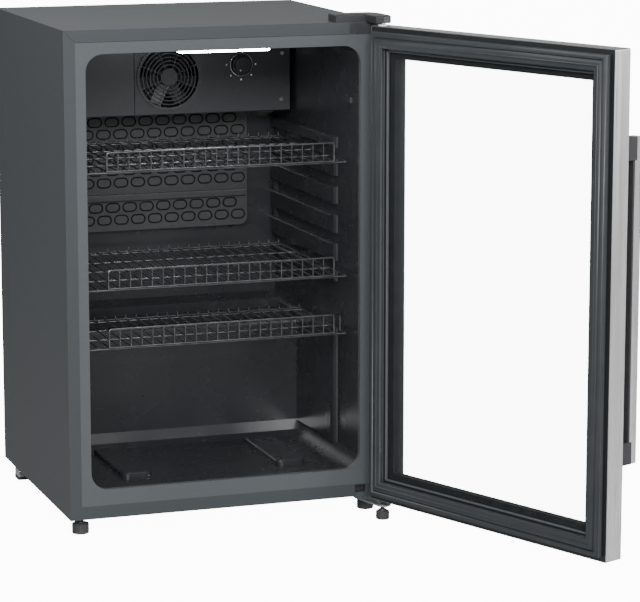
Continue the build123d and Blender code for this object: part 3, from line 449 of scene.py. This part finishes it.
def gasket():
    """Magnetic seal: bellows on the outside, a groove, a raised bead and a soft inner wall."""
    profile = [(9.6, 0), (8.5, 1.6), (8.4, 3.4), (9.8, 4.8), (8.6, 6.2), (8.4, 8.4)]
    profile += [(9.2, 10.6), (11.0, 11.8)]
    profile += [(15.6, 12.1), (16.6, 11.4), (17.0, 9.6), (18.0, 9.0), (19.0, 9.6), (19.4, 11.4), (20.4, 12.1)]
    profile += [(24.4, 12.0)] + arc((26.4, 11.4), 1.6, 160, 20, 6) + [(28.4, 11.8), (32.0, 11.3)]
    profile += arc((32.4, 8.0), 3.4, 80, 0, 5) + [(35.6, 5.0), (34.4, 3.6), (35.4, 2.0), (34.6, 0)]
    mesh = door_frame_sweep("gasket_profile", [(s * MM, n * MM) for s, n in profile], 50)
    piece = add_piece("gasket_profile", mesh, "door", "seal_rubber")
    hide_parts("door_gasket")


def window_bead():
    """Rounded lip round the inner pane."""
    profile = [(38.2, -0.4)] + arc((39.8, 0.2), 1.4, 170, 10, 6) + [(41.3, -3.2), (40.2, -3.2)]
    mesh = door_frame_sweep("window_bead", [(s * MM, n * MM) for s, n in profile], 50)
    add_piece("window_bead", mesh, "door", "frame_plastic")


gasket()
window_bead()


# ---- Cold plate rings ----------------------------------------------------------------------------

def cold_plate_rings():
    """Raised oblong rings of the cold plate, in staggered rows, near-black against the grey plate as painted shade
    of the embossing.
    """
    band_depth, spacing = 4 * MM, 31.5 * MM
    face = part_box("evaporator_plate")[0].y + band_depth
    # Heights of the rows above the cabinet's bottom, in mm: two under the plate's band, the rest above it.
    rows = [434, 456.5, 501.5, 523.5, 545.5, 567.5, 589.5, 611.5]
    half_w, half_h, line = 12.5 * MM, 8 * MM, 1.3 * MM
    points, faces = [], []
    around, across = 32, 8
    for row, height in enumerate(rows):
        count = 10 if row % 2 else 11
        for index in range(count):
            centre = Vector(((index - (count - 1) / 2) * spacing, face, BOTTOM + height * MM))
            base = len(points)
            for step in range(around):
                angle = 2 * math.pi * step / around
                out = Vector((math.cos(angle), 0, math.sin(angle)))
                shift = (half_w - half_h) * (1 if out.x >= 0 else -1)
                spine = centre + Vector((shift, 0, 0)) + out * half_h
                for turn in range(across):
                    tilt = 2 * math.pi * turn / across
                    points.append(spine + (out * math.cos(tilt) + Vector((0, -1, 0)) * math.sin(tilt)) * line)
            for step in range(around):
                for turn in range(across):
                    a, b = (step + 1) % around, (turn + 1) % across
                    faces.append((base + step * across + turn, base + step * across + b,
                                  base + a * across + b, base + a * across + turn))
    # The rings take the black sealant finish, darker than the plate: painted shade of the embossed relief.
    add_piece("cold_plate_rings", mesh_from("cold_plate_rings", points, faces), "cabinet", "black_plastic",
              finishes["spacer_metal"])


cold_plate_rings()


# ---- Dial marks ----------------------------------------------------------------------------------

def disc(name, centre, radius, depth, body, material):
    """Thin round mark that faces the door, with a domed rim."""
    outline = [(radius * 0.98, 0), (radius, depth * 0.4), (radius * 0.9, depth), (radius * 0.4, depth * 1.1)]
    mesh = lathe(name, outline, Vector((0, 0, 0)), 32)
    mesh.transform(Matrix.Translation(centre) @ Matrix.Rotation(math.radians(90), 4, "X"))
    return add_piece(name, mesh, body, "lens_plastic", material)


def dial_marks():
    """Five dots round the dial, a thin bright ring round it as a painted highlight, and the pointer dot on the
    knob.
    """
    marks_radius, highlight_ring_radius, steps = 27 * MM, 20.6 * MM, 64
    low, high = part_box("dial_ring")
    centre = (low + high) / 2
    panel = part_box("control_panel")[0].y
    for index, angle in enumerate((180, 225, 270, 315, 360)):
        turn = math.radians(angle)
        reach = Vector((math.cos(turn), 0, math.sin(turn))) * marks_radius
        place = Vector((centre.x, panel, centre.z)) + reach
        disc(f"dial_mark_{index + 1}", place, 1.5 * MM, 0.4 * MM, "cabinet", MARK_WHITE)
    # Thin bright metal ring round the dial: a painted highlight on the dial's edge.
    ring = []
    for step in range(steps + 1):
        turn = 2 * math.pi * step / steps
        reach = Vector((math.cos(turn), 0, math.sin(turn))) * highlight_ring_radius
        ring.append(Vector((centre.x, low.y - 0.1 * MM, centre.z)) + reach)
    wires("dial_rim_highlight", [(ring, 0.55 * MM)], "cabinet", "bright_trim")
    knob_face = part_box("knob")[0].y
    pointer = Vector((centre.x - 6 * MM, knob_face + 0.55 * MM, centre.z - 9.5 * MM))
    disc("knob_pointer", pointer, 1.45 * MM, 0.4 * MM, "knob", MARK_WHITE)


dial_marks()


# ---- Mitre seams ---------------------------------------------------------------------------------

def mitre_seams():
    """Fine dark joints where the side and top flanges meet at the front corners."""
    flange, half_width, proud = 20 * MM, 0.8 * MM, 0.15 * MM
    for way, name in ((-1, "left"), (1, "right")):
        outer = Vector((way * (HALF - 0.6 * MM), FRONT, TOP - 0.6 * MM))
        inner = Vector((way * (HALF - flange), FRONT, TOP - flange))
        across = (inner - outer).cross(Vector((0, 1, 0))).normalized() * half_width
        front, behind = Vector((0, -proud, 0)), Vector((0, 0.3 * MM, 0))
        ring = [outer + across, outer - across, inner - across, inner + across]
        points = [p + front for p in ring] + [p + behind for p in ring]
        faces = [(0, 1, 2, 3), (7, 6, 5, 4)] + [(i, 4 + i, 4 + (i + 1) % 4, (i + 1) % 4) for i in range(4)]
        mesh = mesh_from(f"{name}_mitre_seam", points, faces, False)
        add_piece(f"{name}_mitre_seam", mesh, "cabinet", "black_plastic")


mitre_seams()


# ---- Rail slot -----------------------------------------------------------------------------------

def slot_shade_tray():
    """Black tray behind the service slot in the bottom rail, with a rounded lip: painted shade for the dark inside
    of the slot.
    """
    x0, x1, z0, z1 = 227 * MM, 249.5 * MM, BOTTOM + 4 * MM, BOTTOM + 21 * MM
    y0, y1 = FRONT + 9.5 * MM, FRONT + 1.5 * MM
    rim = [(x0, z0), (x1, z0), (x1, z1), (x0, z1)]
    lip = 2 * MM
    inner = [(x0 + lip, z0 + lip), (x1 - lip, z0 + lip), (x1 - lip, z1 - lip), (x0 + lip, z1 - lip)]
    points = [(x, y1, z) for x, z in rim] + [(x, y0, z) for x, z in rim]
    points += [(x, y1, z) for x, z in inner] + [(x, y0 - 1 * MM, z) for x, z in inner]
    faces = [(12, 15, 14, 13), (4, 5, 6, 7)]
    for index in range(4):
        nxt = (index + 1) % 4
        faces.append((index, nxt, 4 + nxt, 4 + index))
        faces.append((index, 8 + index, 8 + nxt, nxt))
        faces.append((8 + index, 12 + index, 12 + nxt, 8 + nxt))
    # The black tray stands in for the shade inside the slot: painted shade.
    add_piece("slot_shade_tray", mesh_from("slot_shade_tray", points, faces, False), "cabinet", "black_plastic")


slot_shade_tray()


# ---- Feet ----------------------------------------------------------------------------------------

def knurled_foot(node, skirt_top, flutes):
    """Levelling foot with a fluted skirt, a shoulder nut and a threaded stud."""
    low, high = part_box(node)
    centre = Vector(((low.x + high.x) / 2, (low.y + high.y) / 2, low.z))
    radius = (high.x - low.x) / 2

    def flute(angle, height):
        inside = 2.5 * MM < height < skirt_top - 1.5 * MM
        return 1 - 0.035 * (0.5 + 0.5 * math.cos(flutes * angle)) if inside else 1

    outline = [(radius - 2.2 * MM, 0), (radius - 0.6 * MM, 0.6 * MM), (radius, 2 * MM), (radius, 2.6 * MM)]
    outline += [(radius, 3 * MM + (skirt_top - 5 * MM) * i / 4) for i in range(5)]
    outline += [(radius - 0.2 * MM, skirt_top - 1 * MM), (radius - 1.2 * MM, skirt_top)]
    outline += [(7 * MM, skirt_top + 1.2 * MM), (6.4 * MM, skirt_top + 2.6 * MM)]
    outline.append((4 * MM, skirt_top + 2.8 * MM))
    stud = skirt_top + 2.8 * MM
    while stud < high.z - low.z - 1 * MM:
        outline += [(3.95 * MM, stud + 0.2 * MM), (3.5 * MM, stud + 0.6 * MM)]
        stud += 0.9 * MM
    outline.append((3.4 * MM, high.z - low.z))
    mesh = lathe(node + "_knurled", outline, centre, flutes * 6, flute)
    piece = add_piece(node + "_knurled", mesh, node, "foot_plastic")
    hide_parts(node)


knurled_foot("front_left_foot", 18 * MM, 28)
knurled_foot("front_right_foot", 18 * MM, 28)
knurled_foot("hinge_foot", 15 * MM, 24)


# ---- Studio --------------------------------------------------------------------------------------

def studio_floor():
    """White floor, slightly glossy: it glows for the eye, but throws little of that light on the object."""
    paint = Paint("pale_floor", (0.3, 0.301, 0.302), 0.3, Emission_Color=(1, 1, 1, 1))
    paint.roughness(paint.noise(2, 2), 0.25, 0.35)
    seen = paint.tree.nodes.new("ShaderNodeLightPath").outputs["Is Camera Ray"]
    glow = paint.range(seen, 0.02, 12.0, 0, 1)
    paint.tree.links.new(glow, paint.shader.inputs["Emission Strength"])
    mesh = mesh_from("studio_floor", [(-40, -40, 0), (40, -40, 0), (40, 40, 0), (-40, 40, 0)], [(0, 1, 2, 3)])
    floor = bpy.data.objects.new("studio_floor", mesh)
    bpy.context.scene.collection.objects.link(floor)
    dress(floor, paint.material)


def soft_light(name, place, target, size, power):
    """Square softbox aimed at a point."""
    data = bpy.data.lights.new(name, "AREA")
    data.shape = "RECTANGLE"
    data.size, data.size_y = size
    data.energy = power
    light = bpy.data.objects.new(name, data)
    light.location = place
    light.rotation_euler = (Vector(target) - Vector(place)).to_track_quat("-Z", "Y").to_euler()
    bpy.context.scene.collection.objects.link(light)


def studio_lights():
    """Even white surroundings, a soft key in front, a fill on the door's side and two weak lights."""
    world = bpy.data.worlds.new("studio")
    world.use_nodes = True
    world.node_tree.nodes["Background"].inputs["Color"].default_value = (0.97, 0.985, 1.0, 1)
    world.node_tree.nodes["Background"].inputs["Strength"].default_value = 0.36
    bpy.context.scene.world = world
    soft_light("key", (-1.2, -4.6, 2.6), (0, 0, 0.5), (2.4, 1.6), 440)
    soft_light("fill", (3.6, -3.0, 1.8), (0.4, -0.4, 0.4), (1.6, 2.4), 150)
    soft_light("left_high", (-1.25, -0.5, 1.75), (-0.3, 0, 0.75), (0.7, 0.9), 22)
    soft_light("back", (0.5, 3.5, 3.0), (0, 0, 0.5), (3.0, 1.5), 14)


def camera():
    """Long lens, a little above the top of the cabinet, from the front left."""
    yaw, pitch = math.radians(19.19), math.radians(-10.54)
    data = bpy.data.cameras.new("camera")
    data.lens, data.sensor_width = 161.2, 36
    data.clip_start, data.clip_end = 0.1, 200
    obj = bpy.data.objects.new("camera", data)
    obj.location = (-1.405, -4.754, 1.262)
    look = Vector((math.sin(yaw) * math.cos(pitch), math.cos(yaw) * math.cos(pitch), math.sin(pitch)))
    obj.rotation_mode = "QUATERNION"
    obj.rotation_quaternion = look.to_track_quat("-Z", "Y")
    bpy.context.scene.collection.objects.link(obj)
    bpy.context.scene.camera = obj


studio_floor()
studio_lights()
camera()
